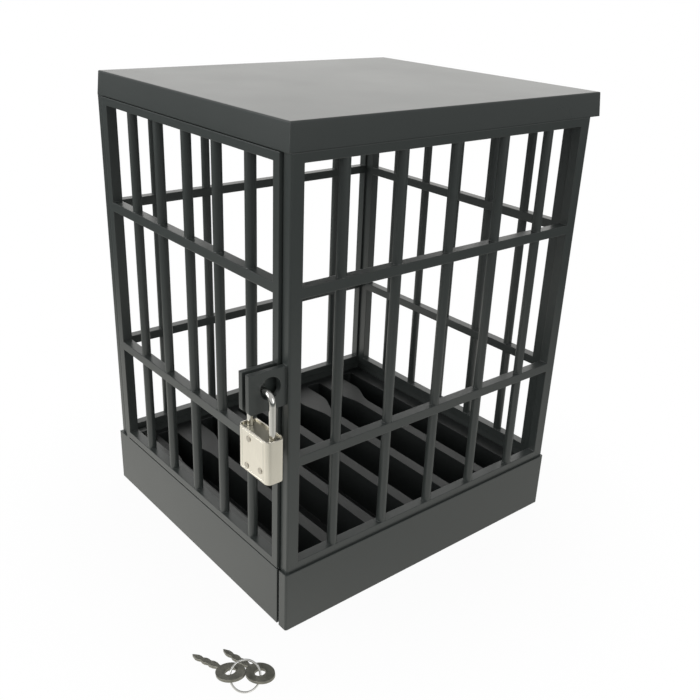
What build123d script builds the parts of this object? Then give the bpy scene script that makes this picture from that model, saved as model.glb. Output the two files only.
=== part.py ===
from build123d import *
import math
import os

# A lock box that keeps phones upright behind bars, with a small padlock and its keys.
# Millimetres. +X is the hasp side, -Y the door, +Z up. The origin is on the floor, under the base's middle.

# Base
base_width = 134.7
base_height = 25.65
base_back_y = 73.8
base_wall = 2.2
base_corner = 0.9
flange_width = 4.45
flange_depth = 5.65
ledge_width = 5.85
ledge_depth = 4.0
cover_thickness = 2.0
cover_gap = 0.2
cover_boss_radius = 3.0
cover_boss_inset = 5.05
cover_boss_y = 44.6

# Phone rack
slot_count = 6
slot_pitch = 22.3
slot_width = 17.3
slot_narrow_width = 8.6
slot_narrow_shift = 1.2
slot_right_margin = 10.35
slot_left_margin = 7.85
slot_narrow_length = 17.5
slot_step_length = 12.0
slot_step_radius = 16.0
slot_limit_y = 61.5
slot_corner = 1.6
rack_drop = 3.65
rack_deck = 2.0
rack_wall = 1.6
rack_floor_z = 4.4
rack_gap = 0.3

# Barred panels
panel_thickness = 4.0
panel_side_inset = 0.85
panel_end_inset = 1.0
panel_top_z = 180.65
post_width = 5.0
rail_height = 3.75
bottom_rail_height = 3.65
top_rail_height = 3.25
lower_rail_z = 70.5
upper_rail_z = 133.5
bar_diameter = 3.8
bar_count = 5
side_bar_pitch = 25.15
front_bar_pitch = 20.4
post_round = 1.8
hasp_post_round = 0.8
peg_diameter = 1.8
peg_length = 3.0
peg_inset = 1.1

# Lid
lid_height = 9.35
lid_left_inset = 2.15
lid_right_inset = 1.0
lid_pin_wall = 1.3
lid_back_y = 79.0
lid_draft = 4.5
lid_top = 2.5
lid_wall = 7.0
lid_edge = 0.5
socket_gap = 0.05

# Door
door_front_y = -74.0
door_thickness = 4.2
door_back_gap = 0.4
door_left_inset = 5.45
door_right_inset = 5.45
left_stile = 5.1
right_stile = 3.3
door_bar_x = 1.9
door_rail_rise = 1.0
door_floor_gap = 0.4
door_gap = 0.3
door_top_gap = 0.2
corner_gap = 1.0
groove_height = 0.6
groove_depth = 0.8

# Hinge
hinge_inset = 7.65
hinge_depth = 2.7
pin_diameter = 1.8
pin_running_gap = 0.06
lug_radius = 1.7
lug_thickness = 1.2
lug_gap = 0.3
lower_pin_bottom_z = 8.0
lower_pin_reach = 7.0
upper_pin_reach = 8.0
upper_pin_seat = 5.0
pocket_gap = 0.34

# Hasp
tab_thickness = 2.0
tab_gap = 2.0
tab_step = 0.5
tab_reach = 14.9
tab_bottom_z = 95.8
tab_height = 14.6
tab_corner = 1.4
tab_hole_diameter = 8.2
door_tab_hole_diameter = 6.2
tab_hole_inset = 8.55
tab_hole_z = 103.9

# Padlock
case_width = 18.0
case_height = 16.4
case_thickness = 7.2
case_inset = 4.05
case_side_round = 1.9
case_recess = 0.6
case_rim = 0.45
shackle_wire = 2.4
shackle_spread = 13.0
shackle_bend = 3.5
shackle_rest = 0.3
shackle_clear = 15.7
leg_running_gap = 0.08
toe_depth = 6.7
toe_tip_gap = 0.4
heel_depth = 11.4
heel_bore_floor = 1.2
plate_thickness = 1.0
plug_offset = 1.2
plug_diameter = 4.4
plug_length = 10.0
plug_running_gap = 0.05
keyway_width = 1.0
keyway_height = 3.2
keyway_end = 0.8
pin_bore_diameter = 1.3
lock_pin_diameter = 1.2
lock_pin_count = 4
lock_pin_pitch = 2.0
lock_pin_first_z = 2.2
key_pin_lengths = (1.0, 1.25, 1.5, 1.0)
driver_length = 1.1
driver_gap = 0.05
pin_spring_length = 2.0
pin_spring_wire = 0.24
pin_spring_turns = 4
spring_end_room = 0.07
bolt_height = 1.6
bolt_depth = 2.4
bolt_bite = 0.9
bolt_roof = 0.4
bolt_stroke = 2.0
bolt_gap = 0.08
case_drop = 7.2
cam_pin_diameter = 1.0
cam_pin_gap = 0.1
cam_shaft_diameter = 4.0
shackle_spring_wire = 0.35
shackle_spring_turns = 5
shackle_spring_gap = 0.1
rivet_diameter = 2.3
rivet_head = 0.18
rivet_shares = ((-0.13, 0.8), (-0.2, 0.13), (0.25, 0.24))

# Keys
key_thickness = 1.0
key_head_width = 9.4
key_head_length = 12.0
key_hole_diameter = 4.0
key_blade_width = 2.6
key_length = 21.6
key_neck_overlap = 0.8
key_cuts = (
    (0.0, 0.6),
    (0.08, 0.55),
    (0.2, 0.95),
    (0.32, 1.0),
    (0.4, 0.68),
    (0.5, 0.95),
    (0.58, 0.9),
    (0.66, 0.55),
    (0.75, 0.8),
    (0.84, 0.78),
    (0.93, 0.45),
    (1.0, 0.14),
)
key_1_hole = (77.8, -104.7, 5.9)
key_1_tip = (57.2, -108.5, 0.45)
key_2_hole = (82.8, -95.7, 4.1)
key_2_tip = (61.6, -98.2, 0.45)
ring_foot = (84.4, -102.6, 0.75)
ring_wire = 0.7
ring_turns = 1.85
ring_pitch = 0.74

# Fasteners
screw_diameter = 1.6
screw_head_diameter = 3.2
screw_head_height = 1.5
screw_clearance = 0.3
screw_seat_depth = 1.0
panel_screw_grip = 7.0
cover_screw_length = 9.0

# Places worked out from the sizes above
half_width = base_width / 2
door_left_x = door_left_inset - half_width
door_right_x = half_width - door_right_inset
hinge_x = hinge_inset - half_width
lid_left_x = lid_left_inset - half_width
lid_right_x = half_width - lid_right_inset
door_back_y = door_front_y + door_thickness
base_front_y = door_back_y + door_back_gap
hinge_y = door_front_y + hinge_depth
pin_radius = pin_diameter / 2
lid_front_y = hinge_y - pin_radius - lid_pin_wall
case_x = half_width - case_inset
slot_right_x = half_width - slot_right_margin
slot_left_x = slot_left_margin - half_width
slot_narrow_x = slot_left_x + slot_narrow_length
slot_wide_x = slot_narrow_x + slot_step_length
panel_outer_x = half_width - panel_side_inset
panel_inner_x = panel_outer_x - panel_thickness
panel_mid_x = panel_outer_x - panel_thickness / 2
panel_peg_x = panel_inner_x + peg_inset
panel_end_y = base_back_y - panel_end_inset
rear_mid_y = panel_end_y - panel_thickness / 2
base_mid_y = (base_front_y + base_back_y) / 2
base_length = base_back_y - base_front_y
flange_bottom_z = base_height - flange_depth
ledge_bottom_z = flange_bottom_z - ledge_depth
door_top_z = panel_top_z - door_top_gap
apron_top_z = base_height - door_gap
pocket_radius = math.hypot(half_width + hinge_x, hinge_y - door_front_y) + pocket_gap
lug_top_z = base_height + lug_thickness
lug_slot_top_z = lug_top_z + lug_gap
rack_top_z = base_height - rack_drop
rack_bottom_z = rack_top_z - rack_deck
side_bar_y = [side_bar_pitch * (k - (bar_count - 1) / 2) for k in range(bar_count)]
front_bar_x = [front_bar_pitch * (k - (bar_count - 1) / 2) for k in range(bar_count)]
panel_screw_spots = [
    (side * panel_mid_x, y) for side in (-1, 1) for y in (side_bar_y[0], side_bar_y[-1])
] + [(x, rear_mid_y) for x in (front_bar_x[0], front_bar_x[-1])]
panel_peg_spots = [
    (math.copysign(panel_peg_x, x), y) for x, y in panel_screw_spots[:4]
] + panel_screw_spots[4:]
cover_screw_spots = [
    (x, y)
    for x in (cover_boss_inset - half_width, half_width - cover_boss_inset)
    for y in (-cover_boss_y, cover_boss_y)
]
panel_screw_seat_z = ledge_bottom_z + screw_seat_depth


def box_between(low, high, mode=Mode.ADD):
    """Add or cut a box given by two opposite corners."""
    sizes = [b - a for a, b in zip(low, high)]
    with Locations(low):
        Box(*sizes, align=(Align.MIN, Align.MIN, Align.MIN), mode=mode)


def rod(x, y, z_low, z_high, diameter, mode=Mode.ADD):
    """Add or cut an upright cylinder."""
    with Locations((x, y, z_low)):
        Cylinder(
            diameter / 2,
            z_high - z_low,
            align=(Align.CENTER, Align.CENTER, Align.MIN),
            mode=mode,
        )


os.makedirs("parts", exist_ok=True)


# Base: a shell open above and below, with a flange that carries the panels and a ledge for the rack
with BuildPart() as base_shell:
    with BuildSketch():
        with Locations((0, base_mid_y)):
            Rectangle(base_width, base_length)
        with Locations((half_width, base_front_y)):
            Rectangle(
                half_width - door_right_x - corner_gap,
                base_back_y + base_front_y,
                align=(Align.MAX, Align.MAX),
            )
        fillet(vertices().group_by(Axis.X)[-1], base_corner)
        fillet(vertices().group_by(Axis.X)[0].sort_by(Axis.Y)[-1], base_corner)
    extrude(amount=base_height)
    for bottom_z, top_z, width in (
        (0, ledge_bottom_z, base_wall),
        (ledge_bottom_z, flange_bottom_z, ledge_width),
        (flange_bottom_z, base_height, flange_width),
    ):
        with BuildSketch(Plane.XY.offset(bottom_z)):
            with Locations((0, base_mid_y)):
                Rectangle(base_width - 2 * width, base_length - 2 * width)
        extrude(amount=top_z - bottom_z, mode=Mode.SUBTRACT)
    with BuildSketch():
        with Locations((hinge_x, hinge_y)):
            Circle(pocket_radius + base_wall)
        with Locations((0, base_mid_y)):
            Rectangle(base_width, base_length, mode=Mode.INTERSECT)
    extrude(amount=base_height)
    rod(hinge_x, hinge_y, 0, base_height, 2 * pocket_radius, Mode.SUBTRACT)
    with BuildSketch(Plane.XY.offset(base_height)):
        with Locations((hinge_x, hinge_y)):
            Circle(lug_radius)
            Rectangle(
                2 * lug_radius,
                pocket_radius + base_wall / 2,
                align=(Align.CENTER, Align.MIN),
            )
    extrude(amount=lug_thickness)
    rod(hinge_x, hinge_y, base_height, lug_top_z, pin_diameter, Mode.SUBTRACT)
    for x, y in cover_screw_spots:
        rod(x, y, cover_thickness, ledge_bottom_z, 2 * cover_boss_radius)
    for x, y in cover_screw_spots:
        rod(x, y, cover_thickness, cover_screw_length, screw_diameter, Mode.SUBTRACT)
    for x, y in panel_screw_spots:
        rod(x, y, panel_screw_seat_z, base_height, screw_diameter + screw_clearance, Mode.SUBTRACT)
        rod(x, y, 0, panel_screw_seat_z, screw_head_diameter + screw_clearance, Mode.SUBTRACT)
base_shell.part.label = "base_shell"
export_step(base_shell.part, "parts/base_shell.step")


# Bottom cover: the plate that closes the base and rests on the floor
with BuildPart() as bottom_cover:
    cover_gap_wall = base_wall + cover_gap
    with BuildSketch():
        with Locations((0, base_mid_y)):
            Rectangle(base_width - 2 * cover_gap_wall, base_length - 2 * cover_gap_wall)
        with Locations((hinge_x, hinge_y)):
            Circle(pocket_radius + base_wall + cover_gap, mode=Mode.SUBTRACT)
    extrude(amount=cover_thickness)
    for x, y in cover_screw_spots:
        rod(x, y, 0, cover_thickness, screw_diameter + screw_clearance, Mode.SUBTRACT)
        with Locations((x, y, 0)):
            Cone(
                screw_head_diameter / 2,
                screw_diameter / 2,
                screw_head_height / 2,
                align=(Align.CENTER, Align.CENTER, Align.MIN),
                mode=Mode.SUBTRACT,
            )
bottom_cover.part.label = "bottom_cover"
export_step(bottom_cover.part, "parts/bottom_cover.step")


# Cover screws: countersunk, one solid each
with BuildPart() as cover_screws:
    for x, y in cover_screw_spots:
        rod(x, y, 0, cover_screw_length, screw_diameter)
        with Locations((x, y, 0)):
            Cone(
                screw_head_diameter / 2,
                screw_diameter / 2,
                screw_head_height / 2,
                align=(Align.CENTER, Align.CENTER, Align.MIN),
            )
cover_screws.part.label = "cover_screws"
export_step(cover_screws.part, "parts/cover_screws.step")


# Panel screws: up through the flange into the panels' end bars
with BuildPart() as panel_screws:
    for x, y in panel_screw_spots:
        rod(x, y, panel_screw_seat_z, base_height + panel_screw_grip, screw_diameter)
        rod(
            x,
            y,
            panel_screw_seat_z - screw_head_height,
            panel_screw_seat_z,
            screw_head_diameter,
        )
panel_screws.part.label = "panel_screws"
export_step(panel_screws.part, "parts/panel_screws.step")


# Phone rack: a deck with six pockets, each narrower at its left end
def slot_edges(index):
    """Front and back of a slot at its wide end, and of its narrow end."""
    middle = slot_pitch * (index - (slot_count - 1) / 2)
    front = max(middle - slot_width / 2, -slot_limit_y)
    back = min(middle + slot_width / 2, slot_limit_y)
    narrow_middle = middle + slot_narrow_shift
    return (
        front,
        back,
        narrow_middle - slot_narrow_width / 2,
        narrow_middle + slot_narrow_width / 2,
    )


def slot_outline(index, grow):
    """Add the outline of one slot, grown by the wall around it, to the sketch in work."""
    front, back, narrow_front, narrow_back = slot_edges(index)
    with BuildSketch(mode=Mode.PRIVATE) as outline:
        with BuildLine():
            Polyline(
                (slot_left_x, narrow_front),
                (slot_narrow_x, narrow_front),
                (slot_wide_x, front),
                (slot_right_x, front),
                (slot_right_x, back),
                (slot_wide_x, back),
                (slot_narrow_x, narrow_back),
                (slot_left_x, narrow_back),
                close=True,
            )
        make_face()
        steps = vertices().filter_by_position(Axis.X, slot_narrow_x, slot_wide_x)
        fillet(vertices() - steps, slot_corner)
        steps = vertices().filter_by_position(Axis.X, slot_narrow_x, slot_wide_x)
        fillet(steps, slot_step_radius)
        if grow:
            offset(amount=grow)
    add(outline.sketch)


with BuildPart() as phone_rack:
    rack_margin = flange_width + rack_gap
    with BuildSketch(Plane.XY.offset(rack_bottom_z)):
        with Locations((0, base_mid_y)):
            Rectangle(base_width - 2 * rack_margin, base_length - 2 * rack_margin)
        with Locations((hinge_x, hinge_y)):
            Circle(pocket_radius + base_wall + rack_gap, mode=Mode.SUBTRACT)
    extrude(amount=rack_deck)
    for index in range(slot_count):
        with BuildSketch(Plane.XY.offset(rack_floor_z)):
            slot_outline(index, rack_wall)
        extrude(amount=rack_top_z - rack_floor_z)
    for index in range(slot_count):
        with BuildSketch(Plane.XY.offset(rack_floor_z + rack_wall)):
            slot_outline(index, 0)
        extrude(amount=rack_top_z - rack_floor_z - rack_wall, mode=Mode.SUBTRACT)
phone_rack.part.label = "phone_rack"
export_step(phone_rack.part, "parts/phone_rack.step")


def grille(plane, low, high, bottom_z, top_z, posts, bars, depth, rise=0):
    """Frame with four rails and round bars. Low and high are its ends along the plane's x."""
    left_post, right_post = posts
    with BuildSketch(plane) as frame:
        with Locations((low, bottom_z)):
            Rectangle(high - low, top_z - bottom_z, align=(Align.MIN, Align.MIN))
        rails = (
            base_height + bottom_rail_height,
            lower_rail_z + rise,
            lower_rail_z + rise + rail_height,
            upper_rail_z + rise,
            upper_rail_z + rise + rail_height,
            panel_top_z - top_rail_height,
        )
        for window_low, window_high in zip(rails[::2], rails[1::2]):
            with Locations((low + left_post, window_low)):
                Rectangle(
                    high - low - left_post - right_post,
                    window_high - window_low,
                    align=(Align.MIN, Align.MIN),
                    mode=Mode.SUBTRACT,
                )
    extrude(frame.sketch, amount=depth)
    for place in bars:
        centre = plane.from_local_coords((place, 0, depth / 2))
        rod(
            centre.X,
            centre.Y,
            base_height + bottom_rail_height / 2,
            panel_top_z - top_rail_height / 2,
            bar_diameter,
        )


def panel_fixings(first, last):
    """Pegs on top that enter the lid, and pilot holes below for the screws."""
    for x, y in panel_peg_spots[first:last]:
        rod(x, y, panel_top_z - top_rail_height / 2, panel_top_z + peg_length, peg_diameter)
    for x, y in panel_screw_spots[first:last]:
        rod(x, y, base_height, base_height + panel_screw_grip, screw_diameter, Mode.SUBTRACT)


# Left panel: behind the hinge, its front inner edge rounded to clear the open door
with BuildPart() as side_panel_left:
    grille(
        Plane(origin=(-panel_outer_x, 0, 0), x_dir=(0, 1, 0), z_dir=(1, 0, 0)),
        -panel_end_y,
        panel_end_y,
        base_height,
        panel_top_z,
        (post_width, post_width),
        side_bar_y,
        panel_thickness,
    )
    front_edges = edges().filter_by(Axis.Z).group_by(Axis.Y)[0]
    fillet(front_edges.sort_by(Axis.X)[-1], post_round)
    panel_fixings(0, 2)
side_panel_left.part.label = "side_panel_left"
export_step(side_panel_left.part, "parts/side_panel_left.step")


# Right panel: its front post is rounded outside and carries the fixed tab of the hasp.
# The padlock's wire rests against the outer side of the hole in that tab.
fixed_tab_low_x = panel_inner_x + tab_step
tab_hole_y = -panel_end_y - tab_reach + tab_hole_inset
wire_radius = shackle_wire / 2
wire_offset = tab_hole_diameter / 2 - wire_radius - shackle_rest
lock_y = tab_hole_y - wire_offset


def hasp_tab(low_x, root_y, hole_y, hole):
    """A plate that stands forward, with rounded free corners and a hole for the shackle."""
    tip_y = -panel_end_y - tab_reach
    with BuildSketch(Plane(origin=(low_x, 0, 0), x_dir=(0, 1, 0), z_dir=(1, 0, 0))) as tab:
        with Locations((tip_y, tab_bottom_z)):
            Rectangle(root_y - tip_y, tab_height, align=(Align.MIN, Align.MIN))
        fillet(vertices().group_by(Axis.Y)[0], tab_corner)
        with Locations((hole_y, tab_hole_z)):
            Circle(hole / 2, mode=Mode.SUBTRACT)
    extrude(tab.sketch, amount=tab_thickness)


with BuildPart() as side_panel_right:
    grille(
        Plane(origin=(panel_inner_x, 0, 0), x_dir=(0, 1, 0), z_dir=(1, 0, 0)),
        -panel_end_y,
        panel_end_y,
        base_height,
        panel_top_z,
        (post_width, post_width),
        side_bar_y,
        panel_thickness,
    )
    front_edges = edges().filter_by(Axis.Z).group_by(Axis.Y)[0]
    fillet(front_edges.sort_by(Axis.X)[-1], hasp_post_round)
    hasp_tab(fixed_tab_low_x, -panel_end_y + post_width / 2, tab_hole_y, tab_hole_diameter)
    panel_fixings(2, 4)
side_panel_right.part.label = "side_panel_right"
export_step(side_panel_right.part, "parts/side_panel_right.step")


# Rear panel: between the two side panels
with BuildPart() as rear_panel:
    grille(
        Plane(origin=(0, panel_end_y, 0), x_dir=(1, 0, 0), z_dir=(0, -1, 0)),
        -panel_inner_x,
        panel_inner_x,
        base_height,
        panel_top_z,
        (post_width, post_width),
        front_bar_x,
        panel_thickness,
    )
    panel_fixings(4, 6)
rear_panel.part.label = "rear_panel"
export_step(rear_panel.part, "parts/rear_panel.step")


# Lid: a thick plate with drafted sides, hollow below, which reaches past the rear panel
with BuildPart() as roof_lid:
    with BuildSketch(Plane.XY.offset(panel_top_z)):
        with Locations((lid_left_x, lid_front_y)):
            Rectangle(
                lid_right_x - lid_left_x,
                lid_back_y - lid_front_y,
                align=(Align.MIN, Align.MIN),
            )
    extrude(amount=lid_height, taper=lid_draft)
    fillet(edges().group_by(Axis.Z)[-1], lid_edge)
    box_between(
        (lid_left_x + lid_wall, lid_front_y + lid_wall, panel_top_z),
        (
            lid_right_x - lid_wall,
            rear_mid_y - lid_wall / 2,
            panel_top_z + lid_height - lid_top,
        ),
        Mode.SUBTRACT,
    )
    for x, y in panel_peg_spots:
        rod(
            x,
            y,
            panel_top_z,
            panel_top_z + peg_length + door_gap,
            peg_diameter + 2 * socket_gap,
            Mode.SUBTRACT,
        )
    rod(hinge_x, hinge_y, panel_top_z, panel_top_z + upper_pin_seat, pin_diameter, Mode.SUBTRACT)
roof_lid.part.label = "roof_lid"
export_step(roof_lid.part, "parts/roof_lid.step")


# Hinge pins: plain steel pins, the lower one pressed into the lug and the upper one into the lid
with BuildPart() as lower_hinge_pin:
    rod(hinge_x, hinge_y, lower_pin_bottom_z, lug_slot_top_z + lower_pin_reach, pin_diameter)
lower_hinge_pin.part.label = "lower_hinge_pin"
export_step(lower_hinge_pin.part, "parts/lower_hinge_pin.step")

with BuildPart() as upper_hinge_pin:
    rod(hinge_x, hinge_y, door_top_z - upper_pin_reach, panel_top_z + upper_pin_seat, pin_diameter)
upper_hinge_pin.part.label = "upper_hinge_pin"
export_step(upper_hinge_pin.part, "parts/upper_hinge_pin.step")


# Door: barred frame and solid apron in one piece, with its hasp tab and the pin bores
door_tab_low_x = fixed_tab_low_x - tab_gap - tab_thickness
door_bars = [door_bar_x + x for x in front_bar_x]
with BuildPart() as front_door:
    grille(
        Plane(origin=(0, door_back_y, 0), x_dir=(1, 0, 0), z_dir=(0, -1, 0)),
        door_left_x,
        door_right_x,
        base_height - door_gap,
        door_top_z,
        (left_stile, right_stile),
        door_bars,
        door_thickness,
        door_rail_rise,
    )
    stile_edges = edges().filter_by(Axis.Z).group_by(Axis.X)[0]
    fillet(stile_edges, post_round)
    box_between(
        (-half_width, door_front_y, door_floor_gap),
        (door_right_x, door_back_y, apron_top_z),
    )
    box_between(
        (hinge_x + lug_radius + door_gap, door_front_y, base_height),
        (door_right_x, door_front_y + groove_depth, base_height + groove_height),
        Mode.SUBTRACT,
    )
    box_between(
        (door_left_x, hinge_y - lug_radius - door_gap, apron_top_z),
        (hinge_x + lug_radius + door_gap, door_back_y, lug_slot_top_z),
        Mode.SUBTRACT,
    )
    box_between(
        (door_left_x, door_front_y, apron_top_z),
        (hinge_x - pin_radius / 2, door_back_y, lug_slot_top_z),
        Mode.SUBTRACT,
    )
    running_bore = pin_diameter + 2 * pin_running_gap
    rod(hinge_x, hinge_y, door_floor_gap, apron_top_z, running_bore, Mode.SUBTRACT)
    rod(
        hinge_x,
        hinge_y,
        lug_slot_top_z,
        lug_slot_top_z + lower_pin_reach + door_gap,
        running_bore,
        Mode.SUBTRACT,
    )
    rod(
        hinge_x,
        hinge_y,
        door_top_z - upper_pin_reach - door_gap,
        door_top_z,
        running_bore,
        Mode.SUBTRACT,
    )
    hasp_tab(door_tab_low_x, door_back_y - door_thickness / 2, lock_y, door_tab_hole_diameter)
front_door.part.label = "front_door"
export_step(front_door.part, "parts/front_door.step")


# Padlock
wire_z = tab_hole_z
case_top_z = wire_z - shackle_clear
case_bottom_z = case_top_z - case_height
deck_z = case_top_z - case_recess
heel_x = case_x - shackle_spread / 2
toe_x = case_x + shackle_spread / 2
toe_tip_z = deck_z - toe_depth
heel_tip_z = deck_z - heel_depth
plug_x = case_x + plug_offset
plug_radius = plug_diameter / 2
plug_top_z = case_bottom_z + plug_length
bolt_mid_z = deck_z - plate_thickness - bolt_roof - bolt_height / 2
bolt_tip_x = toe_x - wire_radius + bolt_bite
cam_pin_arm = bolt_stroke / 2
bolt_rear_x = plug_x - 2 * cam_pin_arm
bolt_room = bolt_height + 2 * bolt_gap
bolt_slot = bolt_depth + 2 * bolt_gap
bolt_low_z = bolt_mid_z - bolt_height / 2
lock_pin_z = [case_bottom_z + lock_pin_first_z + lock_pin_pitch * k for k in range(lock_pin_count)]
pin_bore_end_x = plug_x - plug_radius - driver_gap - driver_length - pin_spring_length
leg_bore = shackle_wire + 2 * leg_running_gap
plug_bore = plug_diameter + 2 * plug_running_gap
bevel_slope = bolt_stroke / case_drop


def case_outline(shrink):
    """Add the case's section, with round narrow sides, to the sketch in work."""
    with Locations((case_x, lock_y)):
        RectangleRounded(
            case_width - 2 * shrink,
            case_thickness - 2 * shrink,
            case_side_round - shrink,
        )


with BuildPart() as padlock_case:
    with BuildSketch(Plane.XY.offset(case_bottom_z)):
        case_outline(0)
    extrude(amount=case_height)
    with BuildSketch(Plane.XY.offset(deck_z - plate_thickness)):
        case_outline(case_rim)
    extrude(amount=case_recess + plate_thickness, mode=Mode.SUBTRACT)
    rod(toe_x, lock_y, toe_tip_z - toe_tip_gap, deck_z, leg_bore, Mode.SUBTRACT)
    rod(heel_x, lock_y, case_bottom_z + heel_bore_floor, deck_z, leg_bore, Mode.SUBTRACT)
    rod(plug_x, lock_y, case_bottom_z, bolt_mid_z + bolt_room / 2, plug_bore, Mode.SUBTRACT)
    box_between(
        (bolt_rear_x - bolt_stroke - bolt_gap, lock_y - bolt_slot / 2, bolt_mid_z - bolt_room / 2),
        (toe_x, lock_y + bolt_slot / 2, bolt_mid_z + bolt_room / 2),
        Mode.SUBTRACT,
    )
    for z in lock_pin_z:
        with Locations(Location((pin_bore_end_x, lock_y, z), (0, 90, 0))):
            Cylinder(
                pin_bore_diameter / 2,
                plug_x - plug_radius - pin_bore_end_x,
                align=(Align.CENTER, Align.CENTER, Align.MIN),
                mode=Mode.SUBTRACT,
            )
padlock_case.part.label = "padlock_case"
export_step(padlock_case.part, "parts/padlock_case.step")


# Top plate of the padlock, let into the case below its bright rim
with BuildPart() as case_top_plate:
    with BuildSketch(Plane.XY.offset(deck_z - plate_thickness)):
        case_outline(case_rim)
        with Locations((heel_x, lock_y), (toe_x, lock_y)):
            Circle(leg_bore / 2, mode=Mode.SUBTRACT)
    extrude(amount=plate_thickness)
case_top_plate.part.label = "case_top_plate"
export_step(case_top_plate.part, "parts/case_top_plate.step")


# Rivet ends on the padlock's front face
with BuildPart() as case_rivets:
    for across, up in rivet_shares:
        rivet_z = case_bottom_z + up * case_height
        with Locations(
            Location((case_x + across * case_width, lock_y - case_thickness / 2, rivet_z), (90, 0, 0))
        ):
            Cylinder(
                rivet_diameter / 2,
                rivet_head,
                align=(Align.CENTER, Align.CENTER, Align.MIN),
            )
case_rivets.part.label = "case_rivets"
export_step(case_rivets.part, "parts/case_rivets.step")


# Shackle: bent wire with a long heel leg and a toe leg whose notch slopes for the bolt
with BuildPart() as shackle:
    with BuildLine():
        route = FilletPolyline(
            (heel_x, lock_y, heel_tip_z),
            (heel_x, lock_y, wire_z),
            (toe_x, lock_y, wire_z),
            (toe_x, lock_y, toe_tip_z),
            radius=shackle_bend,
        )
    with BuildSketch(Plane(origin=route @ 0, z_dir=route % 0)):
        Circle(wire_radius)
    sweep()
    notch_face_x = toe_x - wire_radius
    notch_floor_x = bolt_tip_x + bolt_gap
    notch_top_z = bolt_mid_z + bolt_room / 2
    notch_low_z = bolt_mid_z - bolt_room / 2
    notch_run = (notch_floor_x - notch_face_x) / bevel_slope
    with BuildSketch(Plane(origin=(0, lock_y, 0), x_dir=(1, 0, 0), z_dir=(0, -1, 0))):
        with BuildLine():
            Polyline(
                (notch_face_x, notch_top_z),
                (notch_floor_x, notch_top_z),
                (notch_floor_x, notch_low_z),
                (notch_face_x, notch_low_z - notch_run),
                close=True,
            )
        make_face()
    extrude(amount=wire_radius, both=True, mode=Mode.SUBTRACT)
shackle.part.label = "shackle"
export_step(shackle.part, "parts/shackle.step")


# Locking bolt: slides from the toe leg's notch towards the plug, moved by the plug's cam pin
cam_pin_x = plug_x + cam_pin_arm
slot_reach = cam_pin_diameter / 2 + cam_pin_gap
with BuildPart() as locking_bolt:
    box_between(
        (bolt_rear_x, lock_y - bolt_depth / 2, bolt_mid_z - bolt_height / 2),
        (bolt_tip_x, lock_y + bolt_depth / 2, bolt_mid_z + bolt_height / 2),
    )
    box_between(
        (cam_pin_x - slot_reach, lock_y + cam_pin_arm - slot_reach, bolt_low_z),
        (cam_pin_x + slot_reach, lock_y + bolt_depth / 2, bolt_mid_z + bolt_height / 2),
        Mode.SUBTRACT,
    )
locking_bolt.part.label = "locking_bolt"
export_step(locking_bolt.part, "parts/locking_bolt.step")


# Cylinder plug: keyway below, cam on top, and a row of holes for the key pins
key_pin_tip = math.sqrt(plug_radius**2 - (lock_pin_diameter / 2) ** 2) - driver_gap
with BuildPart() as cylinder_plug:
    rod(plug_x, lock_y, case_bottom_z, plug_top_z, plug_diameter)
    rod(plug_x, lock_y, plug_top_z, bolt_low_z - cam_pin_gap, cam_shaft_diameter)
    rod(
        cam_pin_x,
        lock_y + cam_pin_arm,
        bolt_low_z - cam_pin_gap,
        bolt_mid_z + bolt_height / 2,
        cam_pin_diameter,
    )
    box_between(
        (plug_x - keyway_height / 2, lock_y - keyway_width / 2, case_bottom_z),
        (plug_x + keyway_height / 2, lock_y + keyway_width / 2, plug_top_z - keyway_end),
        Mode.SUBTRACT,
    )
    for z in lock_pin_z:
        with Locations(Location((plug_x - plug_radius, lock_y, z), (0, 90, 0))):
            Cylinder(
                pin_bore_diameter / 2,
                plug_radius,
                align=(Align.CENTER, Align.CENTER, Align.MIN),
                mode=Mode.SUBTRACT,
            )
cylinder_plug.part.label = "cylinder_plug"
export_step(cylinder_plug.part, "parts/cylinder_plug.step")


# Key pins: four, each of its own length, inside the plug
with BuildPart() as key_pins:
    for k, z in enumerate(lock_pin_z):
        with Locations(Location((plug_x - key_pin_tip, lock_y, z), (0, 90, 0))):
            Cylinder(
                lock_pin_diameter / 2,
                key_pin_lengths[k],
                align=(Align.CENTER, Align.CENTER, Align.MIN),
            )
key_pins.part.label = "key_pins"
export_step(key_pins.part, "parts/key_pins.step")


# Driver pins: four, behind the shear line in the case
driver_face_x = plug_x - plug_radius - driver_gap
with BuildPart() as driver_pins:
    for z in lock_pin_z:
        with Locations(Location((driver_face_x - driver_length, lock_y, z), (0, 90, 0))):
            Cylinder(
                lock_pin_diameter / 2,
                driver_length,
                align=(Align.CENTER, Align.CENTER, Align.MIN),
            )
driver_pins.part.label = "driver_pins"
export_step(driver_pins.part, "parts/driver_pins.step")


def coil(plane, radius, length, turns, wire):
    """Add a helical spring that starts on the plane and runs along its normal."""
    with BuildLine():
        path = Helix(
            pitch=length / turns,
            height=length,
            radius=radius,
            center=plane.origin,
            direction=plane.z_dir,
        )
    with BuildSketch(Plane(origin=path @ 0, z_dir=path % 0)) as section:
        Circle(wire / 2)
    sweep(section.sketch, path=path)


# Pin springs: four small coils behind the driver pins
with BuildPart() as pin_springs:
    for z in lock_pin_z:
        coil(
            Plane(
                origin=(pin_bore_end_x + pin_spring_wire / 2, lock_y, z),
                x_dir=(0, 1, 0),
                z_dir=(1, 0, 0),
            ),
            lock_pin_diameter / 2 - pin_spring_wire / 2,
            pin_spring_length - pin_spring_wire - spring_end_room,
            pin_spring_turns,
            pin_spring_wire,
        )
pin_springs.part.label = "pin_springs"
export_step(pin_springs.part, "parts/pin_springs.step")


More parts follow.
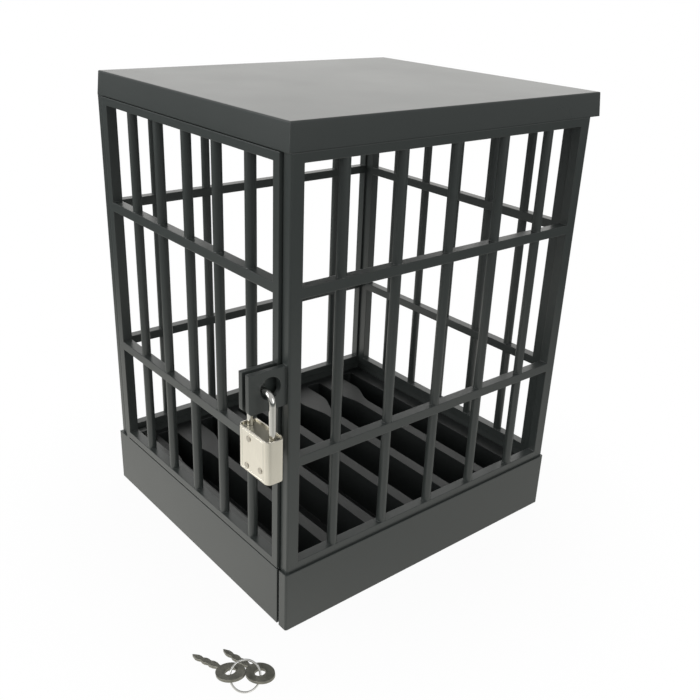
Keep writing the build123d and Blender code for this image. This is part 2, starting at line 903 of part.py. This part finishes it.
# Shackle spring: below the heel leg, it lifts the shackle when the bolt draws back
shackle_spring_low_z = case_bottom_z + heel_bore_floor + shackle_spring_wire / 2
with BuildPart() as shackle_spring:
    coil(
        Plane.XY.offset(shackle_spring_low_z).shift_origin((heel_x, lock_y, shackle_spring_low_z)),
        wire_radius - shackle_spring_wire / 2 - shackle_spring_gap,
        heel_tip_z - shackle_spring_low_z - shackle_spring_wire / 2 - spring_end_room,
        shackle_spring_turns,
        shackle_spring_wire,
    )
shackle_spring.part.label = "shackle_spring"
export_step(shackle_spring.part, "parts/shackle_spring.step")


# Keys: flat, cut on both edges, heads held up by the ring and tips on the floor
def key_plane(hole, tip):
    """Plane through the key's middle, from its hole towards its tip."""
    along = (Vector(*tip) - Vector(*hole)).normalized()
    across = Vector(0, 0, 1).cross(along).normalized()
    return Plane(origin=hole, x_dir=along, z_dir=along.cross(across))


def key_body(plane):
    """Add one key: oval head with a hole, neck, and a blade with cuts on both edges."""
    half_blade = key_blade_width / 2
    head_end = key_head_length / 2
    blade = key_length - head_end
    upper = [
        (head_end - key_neck_overlap + blade * along, half_blade * share)
        for along, share in key_cuts
    ]
    lower = [(x, -y) for x, y in reversed(upper)]
    with BuildSketch(plane.offset(-key_thickness / 2)) as outline:
        Ellipse(head_end, key_head_width / 2)
        with BuildLine():
            Polyline(*upper, *lower, close=True)
        make_face()
        Circle(key_hole_diameter / 2, mode=Mode.SUBTRACT)
    extrude(outline.sketch, amount=key_thickness)


with BuildPart() as key_1:
    key_body(key_plane(key_1_hole, key_1_tip))
key_1.part.label = "key_1"
export_step(key_1.part, "parts/key_1.step")

with BuildPart() as key_2:
    key_body(key_plane(key_2_hole, key_2_tip))
key_2.part.label = "key_2"
export_step(key_2.part, "parts/key_2.step")


# Split ring: flat double turn of wire through both keys' holes, its lowest point on the floor
ring_a = Vector(*key_2_hole) - Vector(*key_1_hole)
ring_b = Vector(*ring_foot) - Vector(*key_1_hole)
ring_normal = ring_a.cross(ring_b)
ring_arm = (
    ring_normal.cross(ring_a) * ring_b.dot(ring_b) + ring_b.cross(ring_normal) * ring_a.dot(ring_a)
) * (0.5 / ring_normal.dot(ring_normal))
ring_axis = ring_normal.normalized()
ring_centre = Vector(*key_1_hole) + ring_arm
ring_rise = ring_pitch * ring_turns
with BuildPart() as split_ring:
    coil(
        Plane(origin=ring_centre - ring_axis * (ring_rise / 2), x_dir=ring_arm, z_dir=ring_axis),
        ring_arm.length,
        ring_rise,
        ring_turns,
        ring_wire,
    )
split_ring.part.label = "split_ring"
export_step(split_ring.part, "parts/split_ring.step")
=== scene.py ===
import math

import bmesh
import bpy
from mathutils import Matrix, Vector


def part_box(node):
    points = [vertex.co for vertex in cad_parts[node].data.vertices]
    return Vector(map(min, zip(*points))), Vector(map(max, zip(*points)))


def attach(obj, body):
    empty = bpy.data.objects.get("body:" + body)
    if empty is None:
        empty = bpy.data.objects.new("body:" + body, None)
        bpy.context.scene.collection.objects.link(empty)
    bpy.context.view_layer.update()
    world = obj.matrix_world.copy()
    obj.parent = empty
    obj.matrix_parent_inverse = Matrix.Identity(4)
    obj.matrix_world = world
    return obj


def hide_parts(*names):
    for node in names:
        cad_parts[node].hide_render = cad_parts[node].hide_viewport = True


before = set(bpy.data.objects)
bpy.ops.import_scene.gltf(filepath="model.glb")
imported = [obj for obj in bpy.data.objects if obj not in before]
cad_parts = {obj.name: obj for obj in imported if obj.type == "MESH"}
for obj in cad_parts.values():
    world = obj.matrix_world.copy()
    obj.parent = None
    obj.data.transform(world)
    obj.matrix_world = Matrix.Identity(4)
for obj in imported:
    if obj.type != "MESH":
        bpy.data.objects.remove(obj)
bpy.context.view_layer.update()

# Camera. The box is seen from above its hasp corner, a little rolled,
# as the photograph was taken; the lens is worked out from a focal length in pixels.
camera_place = Vector((0.2777, -0.2264, 0.2343))
camera_turn = math.radians(49.62)
camera_dip = math.radians(24.13)
camera_roll = math.radians(2.44)
focal_pixels = 873.6
image_pixels = 700.0
sensor_width = 36.0
near_clip = 0.01

look = Vector((
    -math.sin(camera_turn) * math.cos(camera_dip),
    math.cos(camera_turn) * math.cos(camera_dip),
    -math.sin(camera_dip),
))
level_right = look.cross(Vector((0, 0, 1))).normalized()
level_up = level_right.cross(look)
right = level_right * math.cos(camera_roll) + level_up * math.sin(camera_roll)
up = level_up * math.cos(camera_roll) - level_right * math.sin(camera_roll)
camera_data = bpy.data.cameras.new("camera")
camera_data.sensor_width = sensor_width
camera_data.lens = focal_pixels / image_pixels * sensor_width
camera_data.clip_start = near_clip
camera = bpy.data.objects.new("camera", camera_data)
camera.matrix_world = Matrix((
    (right.x, up.x, -look.x, camera_place.x),
    (right.y, up.y, -look.y, camera_place.y),
    (right.z, up.z, -look.z, camera_place.z),
    (0, 0, 0, 1),
))
bpy.context.scene.collection.objects.link(camera)
bpy.context.scene.camera = camera
bpy.context.scene.view_settings.view_transform = "Standard"


# Shader tools that all the finishes share
class Finish:
    """A socket in a material's nodes, with arithmetic that adds Math nodes."""

    def __init__(self, tree, socket=None):
        self.tree = tree
        self.socket = socket

    def node(self, kind, settings=None, inputs=None, output=0):
        made = self.tree.nodes.new(kind)
        for name, value in (settings or {}).items():
            setattr(made, name, value)
        for name, value in (inputs or {}).items():
            if isinstance(value, Finish):
                self.tree.links.new(value.socket, made.inputs[name])
            elif isinstance(value, tuple) and len(value) == 3 and made.inputs[name].type == "RGBA":
                made.inputs[name].default_value = (*value, 1)
            else:
                made.inputs[name].default_value = value
        return Finish(self.tree, made.outputs[output])

    def maths(self, operation, *values):
        return self.node("ShaderNodeMath", {"operation": operation}, dict(enumerate(values)))

    def __add__(self, other):
        return self.maths("ADD", self, other)

    def __rsub__(self, other):
        return self.maths("SUBTRACT", other, self)

    def __mul__(self, other):
        return self.maths("MULTIPLY", self, other)

    __radd__ = __add__
    __rmul__ = __mul__

    def between(self, low, high):
        """0 at low, 1 at high, smooth in between."""
        inputs = {"Value": self, "From Min": low, "From Max": high}
        return self.node("ShaderNodeMapRange", {"interpolation_type": "SMOOTHSTEP"}, inputs)

    def mix(self, first, second):
        """A colour: first where this is 0, second where it is 1."""
        return self.node("ShaderNodeMix", {"data_type": "RGBA"}, {0: self, 6: first, 7: second}, 2)

    def noise(self, place, scale, detail=2.0, roughness=0.5):
        inputs = {"Vector": place, "Scale": scale, "Detail": detail, "Roughness": roughness}
        return self.node("ShaderNodeTexNoise", None, inputs)


def new_material(name):
    """A material whose Principled shader is found as surface, and the start of its nodes."""
    material = bpy.data.materials.new(name)
    material.use_nodes = True
    nodes = Finish(material.node_tree)
    surface = material.node_tree.nodes["Principled BSDF"]
    return material, nodes, surface


def join(surface, name, value):
    """Lead a finish into one of the shader's sockets, or set the socket."""
    if isinstance(value, Finish):
        value.tree.links.new(value.socket, surface.inputs[name])
    else:
        surface.inputs[name].default_value = value


bevel_samples = 8
edge_faint, edge_full = 0.02, 0.3


def soft_corners(nodes, radius):
    """Normals that are rounded over sharp edges."""
    return nodes.node("ShaderNodeBevel", {"samples": bevel_samples}, {"Radius": radius})


# Used for the painted edge highlight on the plastic and for real edge wear on the keys.
def wear_and_highlight_edges(nodes, rounded):
    """A mask that is 1 along sharp edges, where rounded and flat normals differ."""
    flat = nodes.node("ShaderNodeNewGeometry", output="Normal")
    inputs = {0: rounded, 1: flat}
    along = nodes.node("ShaderNodeVectorMath", {"operation": "DOT_PRODUCT"}, inputs, "Value")
    return (1 - along).between(edge_faint, edge_full)


def join_relief(nodes, surface, height, normal, strength, depth):
    """Bump of a real depth in metres, over the rounded corners."""
    inputs = {"Strength": strength, "Distance": depth, "Height": height, "Normal": normal}
    join(surface, "Normal", nodes.node("ShaderNodeBump", None, inputs))


def dress(node, material):
    """Give a frame node its finish."""
    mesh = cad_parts[node].data
    mesh.materials.clear()
    mesh.materials.append(material)


# The moulded shell: base, door, panels and lid are charcoal ABS from polished and spark-eroded
# tools, so flat faces are satin with a very fine grain and corners are soft; a painted highlight makes
# the corners a little paler.
abs_index = 1.6
moulded_corner = 0.0004
moulded_cloud_scale = 28.0
grain_scale = 2600.0
grain_depth = 0.00004
# How far the painted edge highlight pales the sharp edges towards the pale colour.
painted_edge_highlight = 0.55
cloud_paling = 0.12
cloud_roughness = 0.08
grain_roughness = 0.06


def moulded_plastic(name, colour, pale, roughness, grain):
    """Satin moulded plastic with soft corners, painted a little paler as a highlight."""
    material, nodes, surface = new_material(name)
    place = nodes.node("ShaderNodeTexCoord", output="Object")
    rounded = soft_corners(nodes, moulded_corner)
    edge = wear_and_highlight_edges(nodes, rounded)
    cloud = nodes.noise(place, moulded_cloud_scale, detail=3.0)
    speckle = nodes.noise(place, grain_scale, roughness=0.6)
    # Painted highlight: sharp edges are mixed towards the pale colour; the cloud adds random tone.
    join(surface, "Base Color", (edge * painted_edge_highlight + cloud * cloud_paling).mix(colour, pale))
    spread = cloud * cloud_roughness + speckle * grain_roughness
    join(surface, "Roughness", spread + (roughness - (cloud_roughness + grain_roughness) / 2))
    join_relief(nodes, surface, speckle, rounded, grain, grain_depth)
    surface.inputs["IOR"].default_value = abs_index
    return material


charcoal = (0.0395, 0.0465, 0.044)
# Pale tone for the random cloud and for the painted highlight on the sharp edges.
charcoal_cloud_and_highlight = (0.078, 0.086, 0.082)
shell_abs = moulded_plastic("charcoal_abs", charcoal, charcoal_cloud_and_highlight, roughness=0.33, grain=0.2)
for node in (
    "base_shell", "bottom_cover", "side_panel_left", "side_panel_right", "rear_panel", "front_door"
):
    dress(node, shell_abs)
lid_abs = moulded_plastic("lid_abs", charcoal, charcoal_cloud_and_highlight, roughness=0.3, grain=0.2)
dress("roof_lid", lid_abs)


# Phone rack: a separate moulding, near black and matt, let into the base
# so that the slots look deep, with a soft cloud that makes its flat tops a little uneven.
rack_colour = (0.009, 0.0115, 0.011)
# Pale tone for the random cloud and for the painted highlight on the rack's sharp edges.
rack_cloud_and_highlight = (0.03, 0.034, 0.033)
rack_black = moulded_plastic("rack_black", rack_colour, rack_cloud_and_highlight, roughness=0.48, grain=0.3)
dress("phone_rack", rack_black)


# Pins and screws: zinc plated steel, drawn and turned,
# with faint rings round the pins and a bluish bright surface.
turned_corner = 0.00015
metal_relief = 0.2
metal_relief_depth = 0.00002
tarnish_scale = 260.0
tarnish_start, tarnish_full = 0.35, 0.75
ring_roughness = 0.08
tarnish_roughness = 0.12
turned_roughness_offset = 0.08


def turned_metal(name, colour, dark, roughness, ring_scale):
    """Plated or bare metal with fine turning marks."""
    material, nodes, surface = new_material(name)
    place = nodes.node("ShaderNodeTexCoord", output="Object")
    rounded = soft_corners(nodes, turned_corner)
    settings = {"wave_type": "BANDS", "bands_direction": "Z"}
    inputs = {"Vector": place, "Scale": ring_scale, "Distortion": 1.5, "Detail": 2.0}
    rings = nodes.node("ShaderNodeTexWave", settings, inputs, "Fac")
    tarnish = nodes.noise(place, tarnish_scale, detail=4.0, roughness=0.6)
    join(surface, "Base Color", tarnish.between(tarnish_start, tarnish_full).mix(colour, dark))
    spread = rings * ring_roughness + tarnish * tarnish_roughness
    join(surface, "Roughness", spread + (roughness - turned_roughness_offset))
    join_relief(nodes, surface, rings, rounded, metal_relief, metal_relief_depth)
    surface.inputs["Metallic"].default_value = 1.0
    return material


zinc_bright = (0.62, 0.63, 0.65)
zinc_dull = (0.42, 0.43, 0.46)
zinc = turned_metal("zinc_plated_steel", zinc_bright, zinc_dull, roughness=0.32, ring_scale=900.0)
for node in ("cover_screws", "panel_screws", "lower_hinge_pin", "upper_hinge_pin"):
    dress(node, zinc)


# Padlock case: a drawn and polished nickel-plated block with rounded narrow sides,
# a pressed line round its front and a bright rim round the let-in top plate.
# It is warm in tone and finely brushed from top to bottom.
plated_corner = 0.0003
brush_stretch = (1.0, 1.0, 0.04)
brush_scale = 5200.0
plating_cloud_scale = 160.0
brush_relief = 0.15
cloud_shade = 0.5
brush_shade = 0.3
brush_roughness = 0.1
plating_cloud_roughness = 0.06


def brushed_plate(name, colour, shade, roughness):
    """Nickel plating over vertical brush marks."""
    material, nodes, surface = new_material(name)
    place = nodes.node("ShaderNodeTexCoord", output="Object")
    rounded = soft_corners(nodes, plated_corner)
    stretch = nodes.node("ShaderNodeMapping", None, {"Vector": place, "Scale": brush_stretch})
    brush = nodes.noise(stretch, brush_scale, roughness=0.7)
    cloud = nodes.noise(place, plating_cloud_scale, detail=3.0)
    join(surface, "Base Color", (cloud * cloud_shade + brush * brush_shade).mix(colour, shade))
    spread = brush * brush_roughness + cloud * plating_cloud_roughness
    join(surface, "Roughness", spread + (roughness - (brush_roughness + plating_cloud_roughness) / 2))
    join_relief(nodes, surface, brush, rounded, brush_relief, metal_relief_depth)
    surface.inputs["Metallic"].default_value = 1.0
    return material


nickel = brushed_plate("nickel_plate", (0.93, 0.89, 0.79), (0.82, 0.775, 0.68), roughness=0.22)
rivet_bright = (0.66, 0.62, 0.54)
rivet_dull = (0.46, 0.43, 0.37)
dress("case_rivets", brushed_plate("rivet_nickel", rivet_bright, rivet_dull, roughness=0.3))

# Pressed line: the case's front face is inset to a border, then stepped in and out again.
panel_border = 0.0006
panel_line = 0.00016
panel_steps = ((panel_border, 0.0), (panel_line, -panel_line), (panel_line, panel_line))
crease_angle = math.radians(30)
merge_distance = 1e-6
case_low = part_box("padlock_case")[0]
case_shape = bmesh.new()
case_shape.from_mesh(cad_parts["padlock_case"].data)
bmesh.ops.remove_doubles(case_shape, verts=case_shape.verts, dist=merge_distance)
case_shape.normal_update()
front_limit = case_low[1] + merge_distance
panel = [face for face in case_shape.faces if face.calc_center_median().y < front_limit]
for thickness, depth in panel_steps:
    bmesh.ops.inset_region(
        case_shape, faces=panel, thickness=thickness, depth=depth, use_even_offset=True
    )
for face in case_shape.faces:
    face.smooth = True
for edge in case_shape.edges:
    edge.smooth = edge.calc_face_angle(0.0) < crease_angle
case_mesh = bpy.data.meshes.new("padlock_shell")
case_shape.to_mesh(case_mesh)
case_shape.free()
case_mesh.materials.append(nickel)
padlock_shell = bpy.data.objects.new("padlock_shell", case_mesh)
bpy.context.scene.collection.objects.link(padlock_shell)
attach(padlock_shell, "padlock")
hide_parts("padlock_case")
plate_bright = (0.47, 0.45, 0.37)
plate_dull = (0.36, 0.34, 0.28)
dress("case_top_plate", brushed_plate("top_plate", plate_bright, plate_dull, roughness=0.4))


# Shackle: a bent steel wire, bright plated and polished,
# with drawing marks along the wire too fine to see at arm's length.
wire_bright = (0.9, 0.89, 0.85)
wire_dull = (0.78, 0.77, 0.74)
dress("shackle", brushed_plate("shackle_bright", wire_bright, wire_dull, roughness=0.16))


# Lock parts inside the case: brass plug, pins and bolt,
# turned on a lathe and left bare, with steel springs.
brass_bright = (0.8, 0.6, 0.27)
brass_dull = (0.6, 0.42, 0.18)
brass = turned_metal("turned_brass", brass_bright, brass_dull, roughness=0.3, ring_scale=1400.0)
for node in ("cylinder_plug", "key_pins", "driver_pins", "locking_bolt"):
    dress(node, brass)
spring_bright = (0.5, 0.5, 0.51)
spring_dull = (0.34, 0.34, 0.36)
spring_wire = turned_metal("spring_wire", spring_bright, spring_dull, roughness=0.35, ring_scale=700.0)
for node in ("pin_springs", "shackle_spring"):
    dress(node, spring_wire)


# Keys: stamped from sheet, dark nickel plated,
# with a slight drag pattern across the flat heads and brighter worn edges.
stamped_corner = 0.0002
key_plating = (0.3, 0.295, 0.255)
key_stain = (0.19, 0.19, 0.165)
key_edge = (0.5, 0.49, 0.44)
key_metallic = 0.85
stain_scale = 420.0
stain_start, stain_full = 0.3, 0.8
drag_stretch = (0.1, 1.0, 1.0)
drag_scale = 3800.0
drag_roughness = 0.14
stain_roughness = 0.12
key_least_roughness = 0.28


def stamped_key(name):
    """Dark plating that has worn bright on the edges."""
    material, nodes, surface = new_material(name)
    place = nodes.node("ShaderNodeTexCoord", output="Object")
    rounded = soft_corners(nodes, stamped_corner)
    edge = wear_and_highlight_edges(nodes, rounded)
    stain = nodes.noise(place, stain_scale, detail=4.0, roughness=0.6)
    stretch = nodes.node("ShaderNodeMapping", None, {"Vector": place, "Scale": drag_stretch})
    drag = nodes.noise(stretch, drag_scale)
    base = stain.between(stain_start, stain_full).mix(key_plating, key_stain)
    join(surface, "Base Color", edge.mix(base, key_edge))
    join(surface, "Roughness", drag * drag_roughness + stain * stain_roughness + key_least_roughness)
    join_relief(nodes, surface, drag, rounded, metal_relief, metal_relief_depth)
    surface.inputs["Metallic"].default_value = key_metallic
    return material


key_dark = stamped_key("dark_nickel_key")
dress("key_1", key_dark)
dress("key_2", key_dark)


# Split ring: nearly two turns of bright plated spring wire,
# smooth and round, with its ends lying against the next turn.
ring_bright = (0.85, 0.85, 0.83)
ring_dull = (0.7, 0.7, 0.68)
ring_wire = turned_metal("ring_wire", ring_bright, ring_dull, roughness=0.2, ring_scale=300.0)
dress("split_ring", ring_wire)


# Floor: a wide sheet that runs past the picture on every side. The camera sees it white,
# with only a little of its real light and shadow near the box.
# Glossy rays see it warm and bright near the box, dim beyond, and darker on the hasp side,
# because the upright faces mirror it and set their tones from it.
floor_reach = 4.0
floor_grey = 0.85
floor_roughness = 0.7
white = (1, 1, 1)
mirror_warm = (1, 0.985, 0.93)
mirror_dim = (0.9, 1, 0.98)
mirror_dim_strength = 0.1
shadow_start, shadow_end = 0.08, 0.18
shadow_depth = 0.04
mirror_bright_reach, mirror_dim_reach = 0.11, 0.48
hasp_side_start, hasp_side_end = -0.08, 0.1
mirror_share = 0.92
hasp_side_loss = 0.36
floor_shape = bmesh.new()
bmesh.ops.create_grid(floor_shape, x_segments=1, y_segments=1, size=floor_reach)
floor_mesh = bpy.data.meshes.new("floor")
floor_shape.to_mesh(floor_mesh)
floor_shape.free()
floor = bpy.data.objects.new("floor", floor_mesh)
bpy.context.scene.collection.objects.link(floor)
white_sheet, nodes, surface = new_material("white_sheet")
surface.inputs["Base Color"].default_value = (floor_grey, floor_grey, floor_grey, 1)
surface.inputs["Roughness"].default_value = floor_roughness
place = nodes.node("ShaderNodeTexCoord", output="Object")
across = nodes.node("ShaderNodeSeparateXYZ", None, {"Vector": place}, "X")
along = nodes.node("ShaderNodeSeparateXYZ", None, {"Vector": place}, "Y")
away = nodes.node("ShaderNodeVectorMath", {"operation": "LENGTH"}, {0: place}, "Value")
seen = nodes.node("ShaderNodeLightPath", output="Is Camera Ray")
mirrored = nodes.node("ShaderNodeLightPath", output="Is Glossy Ray")
lit = Finish(white_sheet.node_tree, surface.outputs[0])
glow = nodes.node("ShaderNodeEmission", None, {"Color": white, "Strength": 1.0})
warm = nodes.node("ShaderNodeEmission", None, {"Color": mirror_warm, "Strength": 1.0})
dim = nodes.node("ShaderNodeEmission", None, {"Color": mirror_dim, "Strength": mirror_dim_strength})
clean = away.between(shadow_start, shadow_end) * shadow_depth + (1 - shadow_depth)
near = 1 - away.between(mirror_bright_reach, mirror_dim_reach)
hasp_side = (across + along).between(hasp_side_start, hasp_side_end)
bright = near * (mirror_share - hasp_side * hasp_side_loss)
view = nodes.node("ShaderNodeMixShader", None, {0: seen * clean, 1: lit, 2: glow})
mirror_view = nodes.node("ShaderNodeMixShader", None, {0: bright, 1: dim, 2: warm})
sheet = nodes.node("ShaderNodeMixShader", None, {0: mirrored, 1: view, 2: mirror_view})
output = white_sheet.node_tree.nodes["Material Output"]
white_sheet.node_tree.links.new(sheet.socket, output.inputs["Surface"])
floor_mesh.materials.append(white_sheet)


# Studio light: a large soft box behind that the lid mirrors, one at the door side,
# a weak one at the right, and a pale room that the camera sees as white.
lamp_target = (0, 0, 0.09)
room_light = 0.45


def soft_box(name, place, size, power, colour=white):
    """A square area lamp that faces the middle of the box."""
    lamp = bpy.data.lights.new(name, "AREA")
    lamp.shape = "SQUARE"
    lamp.size = size
    lamp.energy = power
    lamp.color = colour
    stand = bpy.data.objects.new(name, lamp)
    aim = Vector(lamp_target) - Vector(place)
    stand.matrix_world = Matrix.Translation(place) @ aim.to_track_quat("-Z", "Y").to_matrix().to_4x4()
    bpy.context.scene.collection.objects.link(stand)


soft_box("back_box", (-0.75, 0.64, 0.66), size=1.1, power=3.0, colour=(1, 0.99, 0.955))
soft_box("door_side_box", (-0.45, -0.95, 0.55), size=0.8, power=5.5)
soft_box("right_box", (1.1, 0.1, 0.5), size=0.7, power=2.0)
world = bpy.data.worlds.new("room")
world.use_nodes = True
bpy.context.scene.world = world
room = Finish(world.node_tree)
seen_by_camera = room.node("ShaderNodeLightPath", output="Is Camera Ray")
backdrop = world.node_tree.nodes["Background"]
backdrop.inputs["Color"].default_value = (*white, 1)
join(backdrop, "Strength", seen_by_camera * (1 - room_light) + room_light)
